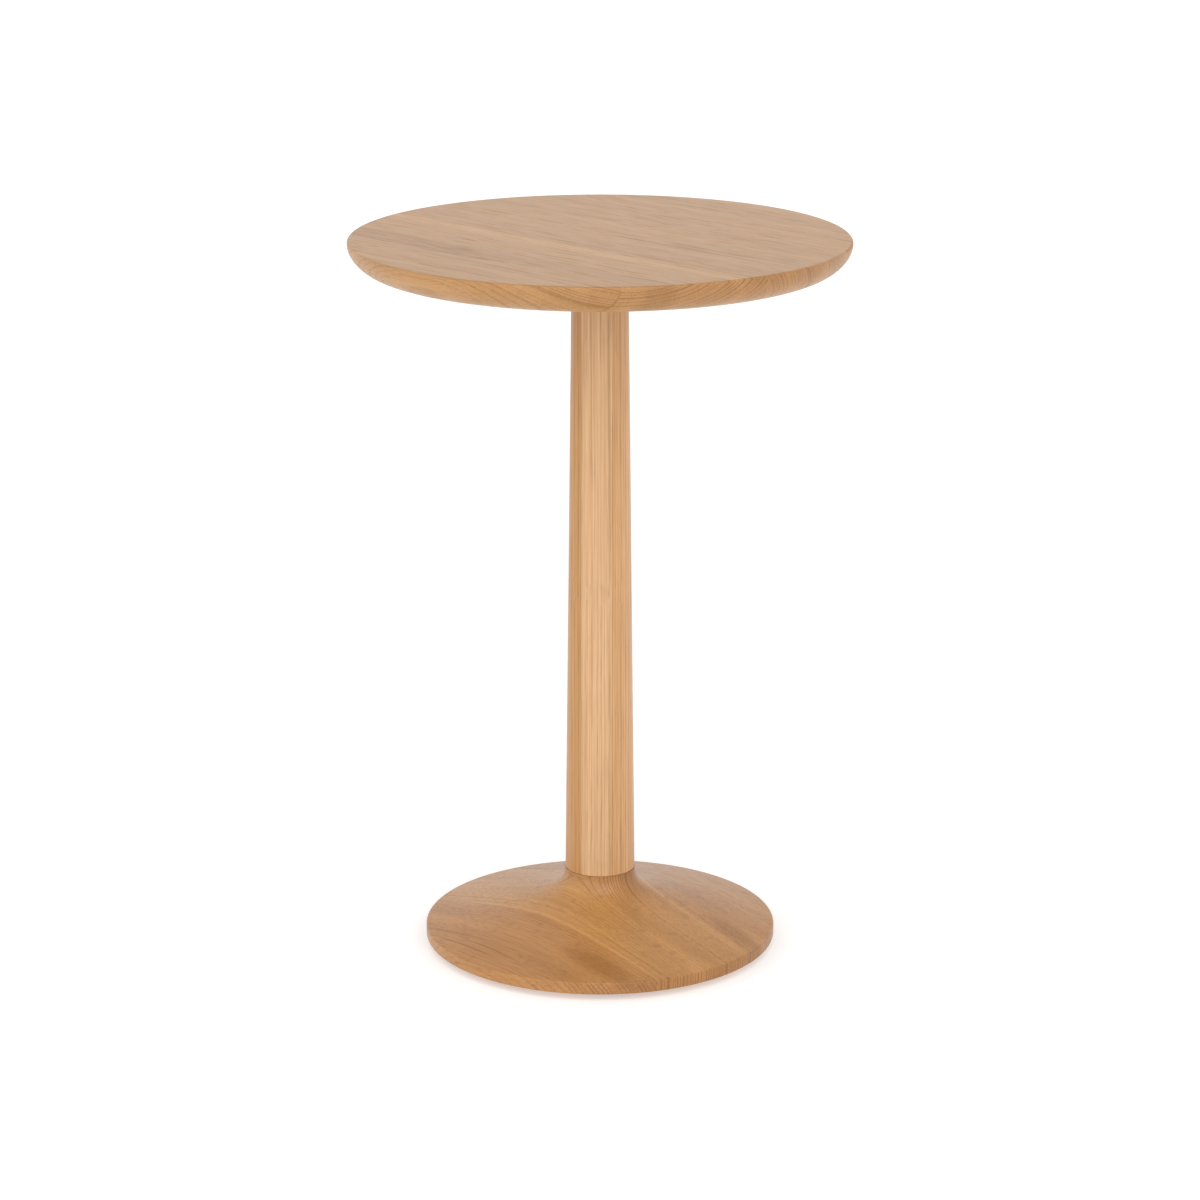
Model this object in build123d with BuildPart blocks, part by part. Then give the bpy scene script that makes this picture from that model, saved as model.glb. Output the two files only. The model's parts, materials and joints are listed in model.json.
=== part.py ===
from build123d import *
import os
from math import cos, radians, sin

# A round solid-oak pedestal table whose top tilts up to stand vertical.
# Millimetres. +Z is up, the origin is on the floor on the column's axis, and the
# grain of the top and of the base runs along X. The top hinges about an X axis, so
# that its +Y side rises and its face turns to -Y.

# ---- Driving dimensions -------------------------------------------------------

TABLE_HEIGHT = 560.0
TOP_RADIUS = 190.0
TOP_THICKNESS = 22.0
TOP_EDGE_ROUND = 2.0
TOP_BEVEL_RUN = 22.9  # how far the rounded-under edge reaches in
TOP_BEVEL_FULLNESS = 0.5  # 0.552 would make it a quarter ellipse
TOP_GLUE_LINES = (-124.0, -19.0, 86.0)

BASE_RADIUS = 137.0
BASE_UNDERSIDE = 5.0
BASE_RIM_TOP = 13.6  # where the rim's side starts to round over
BASE_RIM_ROUND = 1.6
BASE_FOOT_ROUND = 2.0
BASE_SLOPE = 14.0  # degrees, the dome's fall next to the rim
BASE_DOME_PULL = 87.0  # how long the dome stays a plain cone
NECK_RADIUS = 27.4
NECK_TOP = 60.0
NECK_FLARE = 20.0  # how far down the neck the flare starts to open
BASE_GLUE_LINES = (-61.0, 28.5)

COLUMN_FOOT_RADIUS = 27.15
COLUMN_HEAD_RADIUS = 21.8
COLUMN_FOOT_CHAMFER = 0.4
COLUMN_LAYER_HALF = 11.7  # glue planes either side of the axis
COLUMN_LAYER_ANGLE = 37.5  # degrees from X to the layers' normal
FOOT_TENON_RADIUS = 14.95
FOOT_TENON_END = 25.5
HEAD_TENON_RADIUS = 14.0
TENON_CHAMFER = 1.5
TENON_END_GAP = 0.4  # the head tenon stops this far below the block's top
WEDGE_DEPTH = 16.6
WEDGE_HALF_THIN = 0.5
WEDGE_HALF_THICK = 1.5
INSERT_RADIUS = 6.0
INSERT_LENGTH = 20.0
FIXING_SHANK_RADIUS = 4.0
FIXING_SHANK_LENGTH = 35.0
FIXING_HEAD_RADIUS = 6.5
FIXING_HEAD_HEIGHT = 8.0
FIXING_HEX_HALF = 3.0
FIXING_HEX_DEPTH = 4.0
FIXING_HOLE_RADIUS = 4.5
WASHER_RADIUS = 10.0
WASHER_THICKNESS = 1.6
WASHER_HOLE_RADIUS = 4.3

RUNNING_GAP = 0.3  # between the top and the block it swings round
PIVOT_DROP = 11.0  # pivot axis below the top's underside
PIVOT_Y = -24.0
ROD_RADIUS = 4.0
ROD_RUNNING_CLEARANCE = 0.05

BLOCK_HALF = 35.0
BLOCK_THICKNESS = 22.0
BLOCK_CHAMFER = 6.0

BEARER_WIDTH = 18.0
BEARER_DEPTH = 20.0
BEARER_END_DEPTH = 8.0
BEARER_HALF_LENGTH = 112.0
BEARER_FLAT_HALF = 38.0
BEARER_GAP = 1.5  # between a bearer and the block
BUSH_RADIUS = 5.5
BUSH_FLANGE_RADIUS = 8.5
BUSH_FLANGE_THICKNESS = 1.2
BEARER_SCREW_Y = 92.0
BEARER_SCREW_SEAT = 7.0  # below the top's underside
BEARER_SCREW_SLOT = 3.0  # travel along the slot, for the top's seasonal movement
BEARER_CHAMFER = 1.5
BEARER_HEAD_HOLE_RADIUS = 4.6
BEARER_SHANK_HOLE_RADIUS = 2.5

# Wood screws: head radius, head height, shank radius, length under the head
BEARER_SCREW = (4.2, 2.4, 2.0, 22.0)
CATCH_SCREW = (2.8, 1.3, 1.4, 11.0)
STRIKE_SCREW = (2.4, 1.1, 1.2, 9.0)
PLATE_SCREW = (4.0, 2.0, 2.0, 14.0)
GLIDE_SCREW = (3.9, 2.0, 1.8, 12.5)
PILOT_CLEARANCE = 0.05  # round a screw's shank
GLUED_CLEARANCE = 0.02  # round a part that is pressed or glued in

CATCH_FRONT = 38.5
CATCH_LENGTH = 31.5
CATCH_HALF_WIDTH = 10.0
CATCH_BOTTOM = 15.5  # below the top's underside
FLANGE_HALF_WIDTH = 17.0
FLANGE_THICKNESS = 2.0
FLANGE_LENGTH = 34.0
BOLT_HALF_WIDTH = 6.0
BOLT_TOP = 5.5  # below the top's underside
BOLT_HEIGHT = 7.0
BOLT_TIP = 29.5
BOLT_TAIL = 58.0
BOLT_TRAVEL = 8.0
SLIDE_CLEARANCE = 0.2
SPRING_BORE_RADIUS = 2.6
SPRING_BORE_DEPTH = 10.0
SPRING_RADIUS = 2.4
SPRING_WIRE = 0.6
KNOB_Y = 42.0
KNOB_STEM_RADIUS = 2.0
KNOB_RADIUS = 6.5
KNOB_COLLAR_RADIUS = 3.6
KNOB_NECK_RADIUS = 3.9
KNOB_GAP = 2.0  # between the case and the knob's collar
KNOB_FLARE = 6.0  # from the collar down to the widest ring
KNOB_CROWN = 4.0
CASE_WALL = 2.0  # behind the bolt's channel
CASE_ROUND = 1.5
FLANGE_ROUND = 3.0
BOLT_NOSE = 5.0  # run of the bolt's sloping nose
BOLT_NOSE_FLAT = 3.5
STRIKE_THICKNESS = 1.5
STRIKE_HALF_WIDTH = 14.0
STRIKE_HALF_HEIGHT = 7.0
STRIKE_ROUND = 2.0
STRIKE_SCREW_X = 10.5
MORTISE_DEPTH = 8.0
MORTISE_CLEARANCE = 0.5

PLATE_RADIUS = 85.0
PLATE_THICKNESS = 5.0
PLATE_POCKET_TOP = 11.0
PLATE_HOLE_RADIUS = 12.0
PLATE_EDGE = 0.6
PLATE_SCREW_CIRCLE = 65.0
GLIDE_CIRCLE = 105.0
GLIDE_COUNT = 5
GLIDE_RADIUS = 11.0
GLIDE_CHAMFER = 1.2
GLIDE_HOLE_RADIUS = 2.1
GLIDE_SINK_RADIUS = 4.5
GLIDE_SINK_STRAIGHT = 1.2
GLIDE_SINK_TOP = 3.4

# ---- Worked-out places --------------------------------------------------------

UNDERSIDE = TABLE_HEIGHT - TOP_THICKNESS
PIVOT_Z = UNDERSIDE - PIVOT_DROP
BLOCK_TOP = UNDERSIDE - RUNNING_GAP
BLOCK_BOTTOM = BLOCK_TOP - BLOCK_THICKNESS
BLOCK_FRONT = PIVOT_Y - PIVOT_DROP + RUNNING_GAP
BEARER_INNER = BLOCK_HALF + BEARER_GAP
BEARER_MIDDLE = BEARER_INNER + BEARER_WIDTH / 2
BEARER_SEAT = UNDERSIDE - BEARER_SCREW_SEAT
CATCH_Z = UNDERSIDE - CATCH_BOTTOM
BOLT_LOW = UNDERSIDE - BOLT_TOP - BOLT_HEIGHT
BOLT_HIGH = UNDERSIDE - BOLT_TOP
BOLT_MIDDLE = (BOLT_LOW + BOLT_HIGH) / 2
CATCH_SCREW_X = 13.5
CATCH_SCREW_Y = (CATCH_FRONT + 4.5, CATCH_FRONT + FLANGE_LENGTH - 4.5)
PLATE_BOTTOM = PLATE_POCKET_TOP - PLATE_THICKNESS
FIXING_SEAT = 18.0  # where the fixing bolt's washer bears on the base
FIXING_HEAD_TOP = FIXING_SEAT - WASHER_THICKNESS
INSERT_TOP = FOOT_TENON_END + INSERT_LENGTH
TENON_END = BLOCK_TOP - TENON_END_GAP
CHANNEL_END = CATCH_FRONT + CATCH_LENGTH - CASE_WALL
STRIKE_FACE = BLOCK_HALF + STRIKE_THICKNESS
CATCH_SCREW_FOOT = UNDERSIDE - FLANGE_THICKNESS + CATCH_SCREW[1] + 0.1
STRIKE_SCREW_FOOT = STRIKE_FACE - STRIKE_SCREW[1] - 0.1
PLATE_SCREW_FOOT = PLATE_BOTTOM + PLATE_SCREW[1] + 0.1
GLIDE_SCREW_FOOT = GLIDE_SINK_TOP + 0.1
KNOB_SHOULDER = CATCH_Z - KNOB_GAP
KNOB_WIDEST = KNOB_SHOULDER - KNOB_FLARE
KNOB_STEM_TOP = BOLT_LOW + 4.4

os.makedirs("parts", exist_ok=True)


# ---- Shared steps -------------------------------------------------------------


def turn(points):
    """Turn a closed half-outline of (radius, height) points about the Z axis."""
    with BuildSketch(Plane.XZ) as outline:
        with BuildLine():
            Polyline(*points, close=True)
        make_face()
    revolve(outline.sketch, axis=Axis.Z)


def wood_screw(head_radius, head_height, shank_radius, length, countersunk=True):
    """A screw that points up, with its head's foot at z = 0."""
    head = [(0, -head_height), (head_radius, -head_height)]
    if not countersunk:
        head.append((head_radius, 0))
    shank = [(shank_radius, 0), (shank_radius, length - 2 * shank_radius), (0, length)]
    with BuildPart() as screw:
        turn(head + shank)
    return screw.part


def keep_between(y_low, y_high):
    """Keep the slice of the part between two glue lines."""
    with Locations((0, (y_low + y_high) / 2, TABLE_HEIGHT / 2)):
        Box(3 * TOP_RADIUS, y_high - y_low, 2 * TABLE_HEIGHT, mode=Mode.INTERSECT)


def bore(x, y, z_low, z_high, radius):
    """Cut a vertical round hole between two heights."""
    with Locations((x, y, (z_low + z_high) / 2)):
        Cylinder(radius, z_high - z_low, mode=Mode.SUBTRACT)


def pilot(x, y, face, foot, screw):
    """Cut a screw's pilot hole up from a face to just past its point. foot is where its head ends."""
    bore(x, y, face - 1, foot + screw[3] + 0.5, screw[2] + PILOT_CLEARANCE)


def slices(lines, reach):
    """Pair up neighbouring glue lines, from one rim to the other."""
    edges = [-reach, *lines, reach]
    return list(zip(edges[:-1], edges[1:]))


def spread(radius, count, first_angle):
    """Places spaced evenly round a circle about the Z axis."""
    angles = [radians(first_angle + 360 / count * number) for number in range(count)]
    return [(radius * cos(angle), radius * sin(angle)) for angle in angles]


bearer_screw_places = [
    (side * BEARER_MIDDLE, y) for side in (-1, 1) for y in (-BEARER_SCREW_Y, 0, BEARER_SCREW_Y)
]
catch_screw_places = [(side * CATCH_SCREW_X, y) for side in (-1, 1) for y in CATCH_SCREW_Y]
strike_screw_places = (-STRIKE_SCREW_X, STRIKE_SCREW_X)
plate_screw_places = spread(PLATE_SCREW_CIRCLE, 4, 45)
glide_places = spread(GLIDE_CIRCLE, GLIDE_COUNT, -90)

# ---- Top: four oak boards, edge glued, turned to a disc with a rounded-under edge

for number, (y_low, y_high) in enumerate(slices(TOP_GLUE_LINES, TOP_RADIUS + 1), 1):
    with BuildPart() as top_board:
        with BuildSketch(Plane.XZ):
            with BuildLine():
                edge_round = JernArc(
                    start=(TOP_RADIUS - TOP_EDGE_ROUND, TABLE_HEIGHT),
                    tangent=(1, 0),
                    radius=TOP_EDGE_ROUND,
                    arc_size=-90,
                )
                bevel_top = edge_round @ 1
                bevel_foot = Vector(TOP_RADIUS - TOP_BEVEL_RUN, UNDERSIDE)
                bevel_drop = bevel_top.Y - UNDERSIDE
                Bezier(
                    bevel_top,
                    bevel_top - Vector(0, TOP_BEVEL_FULLNESS * bevel_drop),
                    bevel_foot + Vector(TOP_BEVEL_FULLNESS * TOP_BEVEL_RUN, 0),
                    bevel_foot,
                )
                Polyline(bevel_foot, (0, UNDERSIDE), (0, TABLE_HEIGHT), edge_round @ 0)
            make_face()
        revolve(axis=Axis.Z)
        keep_between(y_low, y_high)
        for x, y in bearer_screw_places:
            pilot(x, y, UNDERSIDE, BEARER_SEAT, BEARER_SCREW)
        for x, y in catch_screw_places:
            pilot(x, y, UNDERSIDE, CATCH_SCREW_FOOT, CATCH_SCREW)
    top_board.part.label = f"top_board_{number}"
    export_step(top_board.part, f"parts/top_board_{number}.step")

# ---- Bearers: two tapered oak battens across the boards, one each side of the block

for side, hand in ((-1, "left"), (1, "right")):
    with BuildPart() as bearer:
        with BuildSketch(Plane.YZ.offset(side * BEARER_MIDDLE)):
            with BuildLine():
                Polyline(
                    (-BEARER_HALF_LENGTH, UNDERSIDE),
                    (-BEARER_HALF_LENGTH, UNDERSIDE - BEARER_END_DEPTH),
                    (-BEARER_FLAT_HALF, UNDERSIDE - BEARER_DEPTH),
                    (BEARER_FLAT_HALF, UNDERSIDE - BEARER_DEPTH),
                    (BEARER_HALF_LENGTH, UNDERSIDE - BEARER_END_DEPTH),
                    (BEARER_HALF_LENGTH, UNDERSIDE),
                    close=True,
                )
            make_face()
        extrude(amount=BEARER_WIDTH / 2, both=True)
        long_edges = bearer.edges().filter_by(lambda edge: edge.center().Z < UNDERSIDE - 1)
        long_edges = long_edges.filter_by(Axis.X, reverse=True).filter_by(Axis.Z, reverse=True)
        chamfer(long_edges, BEARER_CHAMFER)
        with Locations(Location((side * BEARER_MIDDLE, PIVOT_Y, PIVOT_Z), (0, 90, 0))):
            Cylinder(BUSH_RADIUS, BEARER_WIDTH + 2, mode=Mode.SUBTRACT)
        for y in (-BEARER_SCREW_Y, 0, BEARER_SCREW_Y):
            travel = BEARER_SCREW_SLOT if y else 0.01  # the middle hole is all but round
            shank_slot = 2 * BEARER_SHANK_HOLE_RADIUS
            head_slot = 2 * BEARER_HEAD_HOLE_RADIUS
            with BuildSketch(Plane.XY.offset(UNDERSIDE + 1)):
                with Locations((side * BEARER_MIDDLE, y)):
                    SlotOverall(shank_slot + travel, shank_slot, rotation=90)
            extrude(amount=-BEARER_SCREW_SEAT - 2, mode=Mode.SUBTRACT)
            with BuildSketch(Plane.XY.offset(BEARER_SEAT)):
                with Locations((side * BEARER_MIDDLE, y)):
                    SlotOverall(head_slot + travel, head_slot, rotation=90)
            extrude(amount=-BEARER_DEPTH, mode=Mode.SUBTRACT)
    bearer.part.label = f"bearer_{hand}"
    export_step(bearer.part, f"parts/bearer_{hand}.step")

bearer_screw = wood_screw(*BEARER_SCREW, countersunk=False)
with BuildPart() as bearer_screws:
    with Locations(*[(x, y, BEARER_SEAT) for x, y in bearer_screw_places]):
        add(bearer_screw)
bearer_screws.part.label = "bearer_screws"
export_step(bearer_screws.part, "parts/bearer_screws.step")

# ---- Pivot: a steel rod through the block, turning in flanged brass bushes ------

for side, hand in ((-1, "left"), (1, "right")):
    with BuildPart() as bush:
        with BuildSketch(Plane.YZ.offset(side * BEARER_INNER)):
            with Locations((PIVOT_Y, PIVOT_Z)):
                Circle(BUSH_RADIUS - GLUED_CLEARANCE)
        extrude(amount=side * BEARER_WIDTH)
        with BuildSketch(Plane.YZ.offset(side * BEARER_INNER)):
            with Locations((PIVOT_Y, PIVOT_Z)):
                Circle(BUSH_FLANGE_RADIUS)
        extrude(amount=-side * BUSH_FLANGE_THICKNESS)
        with Locations(Location((side * BEARER_INNER, PIVOT_Y, PIVOT_Z), (0, 90, 0))):
            Cylinder(ROD_RADIUS + ROD_RUNNING_CLEARANCE, 3 * BEARER_WIDTH, mode=Mode.SUBTRACT)
    bush.part.label = f"pivot_bush_{hand}"
    export_step(bush.part, f"parts/pivot_bush_{hand}.step")

with BuildPart() as pivot_rod:
    with Locations(Location((0, PIVOT_Y, PIVOT_Z), (0, 90, 0))):
        Cylinder(ROD_RADIUS, 2 * (BEARER_INNER + BEARER_WIDTH - 1))
    chamfer(pivot_rod.edges().filter_by(GeomType.CIRCLE), 0.6)
pivot_rod.part.label = "pivot_rod"
export_step(pivot_rod.part, "parts/pivot_rod.step")

# ---- Tilt block: oak, glued and wedged on the column's head ---------------------
# Its upper front edge is round about the pivot, so that the top swings clear of it
# and comes to rest against its front face.

with BuildPart() as tilt_block:
    with BuildSketch(Plane.YZ):
        with BuildLine():
            swing = CenterArc((PIVOT_Y, PIVOT_Z), PIVOT_DROP - RUNNING_GAP, 90, 90)
            Polyline(
                swing @ 1,
                (BLOCK_FRONT, BLOCK_BOTTOM + BLOCK_CHAMFER),
                (BLOCK_FRONT + BLOCK_CHAMFER, BLOCK_BOTTOM),
                (BLOCK_HALF - BLOCK_CHAMFER, BLOCK_BOTTOM),
                (BLOCK_HALF, BLOCK_BOTTOM + BLOCK_CHAMFER),
                (BLOCK_HALF, BLOCK_TOP),
                swing @ 0,
            )
        make_face()
    extrude(amount=BLOCK_HALF, both=True)
    lower_edges = tilt_block.edges().filter_by(Axis.Y).group_by(Axis.Z)[0]
    chamfer(lower_edges, BLOCK_CHAMFER)
    bore(0, 0, BLOCK_BOTTOM - 1, BLOCK_TOP + 1, HEAD_TENON_RADIUS)
    with Locations(Location((0, PIVOT_Y, PIVOT_Z), (0, 90, 0))):
        Cylinder(ROD_RADIUS + GLUED_CLEARANCE, 4 * BLOCK_HALF, mode=Mode.SUBTRACT)
    with Locations((0, BLOCK_HALF - MORTISE_DEPTH / 2, BOLT_MIDDLE)):
        Box(
            2 * (BOLT_HALF_WIDTH + MORTISE_CLEARANCE),
            MORTISE_DEPTH,
            BOLT_HEIGHT + 2 * MORTISE_CLEARANCE,
            mode=Mode.SUBTRACT,
        )
    for x in strike_screw_places:
        with Locations(Location((x, BLOCK_HALF, BOLT_MIDDLE), (90, 0, 0))):
            Cylinder(STRIKE_SCREW[2] + PILOT_CLEARANCE, 2 * STRIKE_SCREW[3] + 1, mode=Mode.SUBTRACT)
tilt_block.part.label = "tilt_block"
export_step(tilt_block.part, "parts/tilt_block.step")

# ---- Column: three oak layers glued face to face and turned to a slight taper ---

# The wedge that spreads the column's head tenon is thickest at the top.
with BuildSketch(Plane.XZ) as wedge_outline:
    with BuildLine():
        Polyline(
            (-WEDGE_HALF_THIN, TENON_END - WEDGE_DEPTH),
            (WEDGE_HALF_THIN, TENON_END - WEDGE_DEPTH),
            (WEDGE_HALF_THICK, TENON_END),
            (-WEDGE_HALF_THICK, TENON_END),
            close=True,
        )
    make_face()

layer_edges = (
    (-2 * NECK_RADIUS, -COLUMN_LAYER_HALF),
    (-COLUMN_LAYER_HALF, COLUMN_LAYER_HALF),
    (COLUMN_LAYER_HALF, 2 * NECK_RADIUS),
)
for number, (low, high) in enumerate(layer_edges, 1):
    with BuildPart() as column_layer:
        turn(
            [
                (0, FOOT_TENON_END),
                (FOOT_TENON_RADIUS - TENON_CHAMFER, FOOT_TENON_END),
                (FOOT_TENON_RADIUS, FOOT_TENON_END + TENON_CHAMFER),
                (FOOT_TENON_RADIUS, NECK_TOP),
                (COLUMN_FOOT_RADIUS - COLUMN_FOOT_CHAMFER, NECK_TOP),
                (COLUMN_FOOT_RADIUS, NECK_TOP + COLUMN_FOOT_CHAMFER),
                (COLUMN_HEAD_RADIUS, BLOCK_BOTTOM),
                (HEAD_TENON_RADIUS - GLUED_CLEARANCE, BLOCK_BOTTOM),
                (HEAD_TENON_RADIUS - GLUED_CLEARANCE, TENON_END),
                (0, TENON_END),
            ]
        )
        extrude(wedge_outline.sketch, amount=2 * HEAD_TENON_RADIUS, both=True, mode=Mode.SUBTRACT)
        bore(0, 0, FOOT_TENON_END - 1, INSERT_TOP + 0.5, INSERT_RADIUS)
        bore(0, 0, INSERT_TOP, INSERT_TOP + 8.0, FIXING_HOLE_RADIUS)
        layer_plane = Plane.XY.rotated((0, 0, COLUMN_LAYER_ANGLE))
        with Locations(layer_plane.offset(TABLE_HEIGHT / 2)):
            with Locations(((low + high) / 2, 0, 0)):
                Box(high - low, 4 * NECK_RADIUS, TABLE_HEIGHT, mode=Mode.INTERSECT)
    column_layer.part.label = f"column_layer_{number}"
    export_step(column_layer.part, f"parts/column_layer_{number}.step")

with BuildPart() as tenon_wedge:
    extrude(wedge_outline.sketch, amount=HEAD_TENON_RADIUS, both=True)
    with Locations((0, 0, BLOCK_TOP)):
        Cylinder(HEAD_TENON_RADIUS - 0.1, 3 * BLOCK_THICKNESS, mode=Mode.INTERSECT)
tenon_wedge.part.label = "tenon_wedge"
export_step(tenon_wedge.part, "parts/tenon_wedge.step")

# ---- Column fixing: threaded insert, washer and bolt, put in from underneath ----

insert_outer = INSERT_RADIUS - GLUED_CLEARANCE
insert_inner = FIXING_SHANK_RADIUS + PILOT_CLEARANCE
with BuildPart() as column_insert:
    turn(
        [
            (insert_inner, FOOT_TENON_END),
            (insert_outer, FOOT_TENON_END),
            (insert_outer, INSERT_TOP),
            (insert_inner, INSERT_TOP),
        ]
    )
column_insert.part.label = "column_insert"
export_step(column_insert.part, "parts/column_insert.step")

with BuildPart() as fixing_washer:
    turn(
        [
            (WASHER_HOLE_RADIUS, FIXING_HEAD_TOP),
            (WASHER_RADIUS, FIXING_HEAD_TOP),
            (WASHER_RADIUS, FIXING_SEAT),
            (WASHER_HOLE_RADIUS, FIXING_SEAT),
        ]
    )
fixing_washer.part.label = "fixing_washer"
export_step(fixing_washer.part, "parts/fixing_washer.step")

head_foot = FIXING_HEAD_TOP - FIXING_HEAD_HEIGHT
shank_end = FIXING_HEAD_TOP + FIXING_SHANK_LENGTH
with BuildPart() as fixing_bolt:
    turn(
        [
            (0, head_foot),
            (FIXING_HEAD_RADIUS, head_foot),
            (FIXING_HEAD_RADIUS, FIXING_HEAD_TOP),
            (FIXING_SHANK_RADIUS, FIXING_HEAD_TOP),
            (FIXING_SHANK_RADIUS, shank_end),
            (0, shank_end),
        ]
    )
    round_edges = fixing_bolt.edges().filter_by(GeomType.CIRCLE)
    chamfer(round_edges.group_by(Axis.Z)[0] + round_edges.group_by(Axis.Z)[-1], 0.6)
    with BuildSketch(Plane.XY.offset(head_foot)):
        RegularPolygon(radius=FIXING_HEX_HALF, side_count=6, major_radius=False)
    extrude(amount=FIXING_HEX_DEPTH, mode=Mode.SUBTRACT)
fixing_bolt.part.label = "fixing_bolt"
export_step(fixing_bolt.part, "parts/fixing_bolt.step")

# ---- Base: three thick oak boards, edge glued, turned to a dome with a flared neck

for number, (y_low, y_high) in enumerate(slices(BASE_GLUE_LINES, BASE_RADIUS + 1), 1):
    with BuildPart() as base_board:
        with BuildSketch(Plane.XZ):
            with BuildLine():
                foot_round = JernArc(
                    start=(BASE_RADIUS - BASE_FOOT_ROUND, BASE_UNDERSIDE),
                    tangent=(1, 0),
                    radius=BASE_FOOT_ROUND,
                    arc_size=90,
                )
                rim_side = Line(foot_round @ 1, (BASE_RADIUS, BASE_RIM_TOP))
                rim_round = JernArc(
                    start=rim_side @ 1,
                    tangent=(0, 1),
                    radius=BASE_RIM_ROUND,
                    arc_size=90 - BASE_SLOPE,
                )
                neck_top = Vector(NECK_RADIUS, NECK_TOP)
                dome = Bezier(
                    rim_round @ 1,
                    (rim_round @ 1) + (rim_round % 1) * BASE_DOME_PULL,
                    neck_top - Vector(0, NECK_FLARE),
                    neck_top,
                )
                Polyline(dome @ 1, (0, NECK_TOP), (0, BASE_UNDERSIDE), foot_round @ 0)
            make_face()
        revolve(axis=Axis.Z)
        keep_between(y_low, y_high)
        bore(0, 0, FOOT_TENON_END - 0.5, NECK_TOP + 1, FOOT_TENON_RADIUS + PILOT_CLEARANCE)
        bore(0, 0, FIXING_SEAT - 1, FOOT_TENON_END, FIXING_HOLE_RADIUS)
        bore(0, 0, PLATE_POCKET_TOP - 1, FIXING_SEAT, WASHER_RADIUS + 1.0)
        bore(0, 0, BASE_UNDERSIDE - 1, PLATE_POCKET_TOP, PLATE_RADIUS + 0.2)
        for x, y in plate_screw_places:
            pilot(x, y, PLATE_POCKET_TOP, PLATE_SCREW_FOOT, PLATE_SCREW)
        for x, y in glide_places:
            pilot(x, y, BASE_UNDERSIDE, GLIDE_SCREW_FOOT, GLIDE_SCREW)
    base_board.part.label = f"base_board_{number}"
    export_step(base_board.part, f"parts/base_board_{number}.step")

# ---- Ballast plate: steel, let into the underside of the base -------------------

with BuildPart() as ballast_plate:
    turn(
        [
            (PLATE_HOLE_RADIUS, PLATE_BOTTOM),
            (PLATE_RADIUS - PLATE_EDGE, PLATE_BOTTOM),
            (PLATE_RADIUS, PLATE_BOTTOM + PLATE_EDGE),
            (PLATE_RADIUS, PLATE_POCKET_TOP),
            (PLATE_HOLE_RADIUS, PLATE_POCKET_TOP),
        ]
    )
    with Locations(*[Location((x, y, PLATE_BOTTOM), (180, 0, 0)) for x, y in plate_screw_places]):
        CounterSinkHole(radius=2.2, counter_sink_radius=4.3, depth=PLATE_THICKNESS)
ballast_plate.part.label = "ballast_plate"
export_step(ballast_plate.part, "parts/ballast_plate.step")

with BuildPart() as ballast_screws:
    with Locations(*[(x, y, PLATE_SCREW_FOOT) for x, y in plate_screw_places]):
        add(wood_screw(*PLATE_SCREW))
ballast_screws.part.label = "ballast_screws"
export_step(ballast_screws.part, "parts/ballast_screws.step")

# ---- Glides: nylon discs that the table stands on -------------------------------

for number, (x, y) in enumerate(glide_places, 1):
    with BuildPart() as glide:
        turn(
            [
                (GLIDE_HOLE_RADIUS, BASE_UNDERSIDE),
                (GLIDE_RADIUS, BASE_UNDERSIDE),
                (GLIDE_RADIUS, GLIDE_CHAMFER),
                (GLIDE_RADIUS - GLIDE_CHAMFER, 0),
                (GLIDE_SINK_RADIUS, 0),
                (GLIDE_SINK_RADIUS, GLIDE_SINK_STRAIGHT),
                (GLIDE_HOLE_RADIUS, GLIDE_SINK_TOP),
            ]
        )
        glide.part.move(Location((x, y, 0)))
    glide.part.label = f"glide_{number}"
    export_step(glide.part, f"parts/glide_{number}.step")

with BuildPart() as glide_screws:
    with Locations(*[(x, y, GLIDE_SCREW_FOOT) for x, y in glide_places]):
        add(wood_screw(*GLIDE_SCREW))
glide_screws.part.label = "glide_screws"
export_step(glide_screws.part, "parts/glide_screws.step")

# ---- Catch: a cast brass case on the top's underside, with a sprung sliding bolt -

with BuildPart() as catch_case:
    with Locations((0, CATCH_FRONT + CATCH_LENGTH / 2, (CATCH_Z + UNDERSIDE) / 2)):
        Box(2 * CATCH_HALF_WIDTH, CATCH_LENGTH, CATCH_BOTTOM)
    fillet(catch_case.faces().sort_by(Axis.Z)[0].edges(), CASE_ROUND)
    with BuildSketch(Plane.XY.offset(UNDERSIDE)):
        with Locations((0, CATCH_FRONT + FLANGE_LENGTH / 2)):
            RectangleRounded(2 * FLANGE_HALF_WIDTH, FLANGE_LENGTH, FLANGE_ROUND)
    extrude(amount=-FLANGE_THICKNESS)
    with Locations((0, (CATCH_FRONT - 1 + CHANNEL_END) / 2, BOLT_MIDDLE)):
        Box(
            2 * (BOLT_HALF_WIDTH + SLIDE_CLEARANCE),
            CHANNEL_END - CATCH_FRONT + 1,
            BOLT_HEIGHT + 2 * SLIDE_CLEARANCE,
            mode=Mode.SUBTRACT,
        )
    with BuildSketch(Plane.XY.offset(BOLT_LOW)):
        with Locations((0, KNOB_Y + BOLT_TRAVEL / 2)):
            slot_width = 2 * KNOB_STEM_RADIUS + 0.8
            SlotOverall(BOLT_TRAVEL + slot_width, slot_width, rotation=90)
    extrude(amount=-CATCH_BOTTOM, mode=Mode.SUBTRACT)
    flange_face = UNDERSIDE - FLANGE_THICKNESS
    with Locations(*[Location((x, y, flange_face), (180, 0, 0)) for x, y in catch_screw_places]):
        CounterSinkHole(radius=1.6, counter_sink_radius=3.0, depth=FLANGE_THICKNESS)
catch_case.part.label = "catch_case"
export_step(catch_case.part, "parts/catch_case.step")

with BuildPart() as catch_screws:
    with Locations(*[(x, y, CATCH_SCREW_FOOT) for x, y in catch_screw_places]):
        add(wood_screw(*CATCH_SCREW))
catch_screws.part.label = "catch_screws"
export_step(catch_screws.part, "parts/catch_screws.step")

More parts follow.
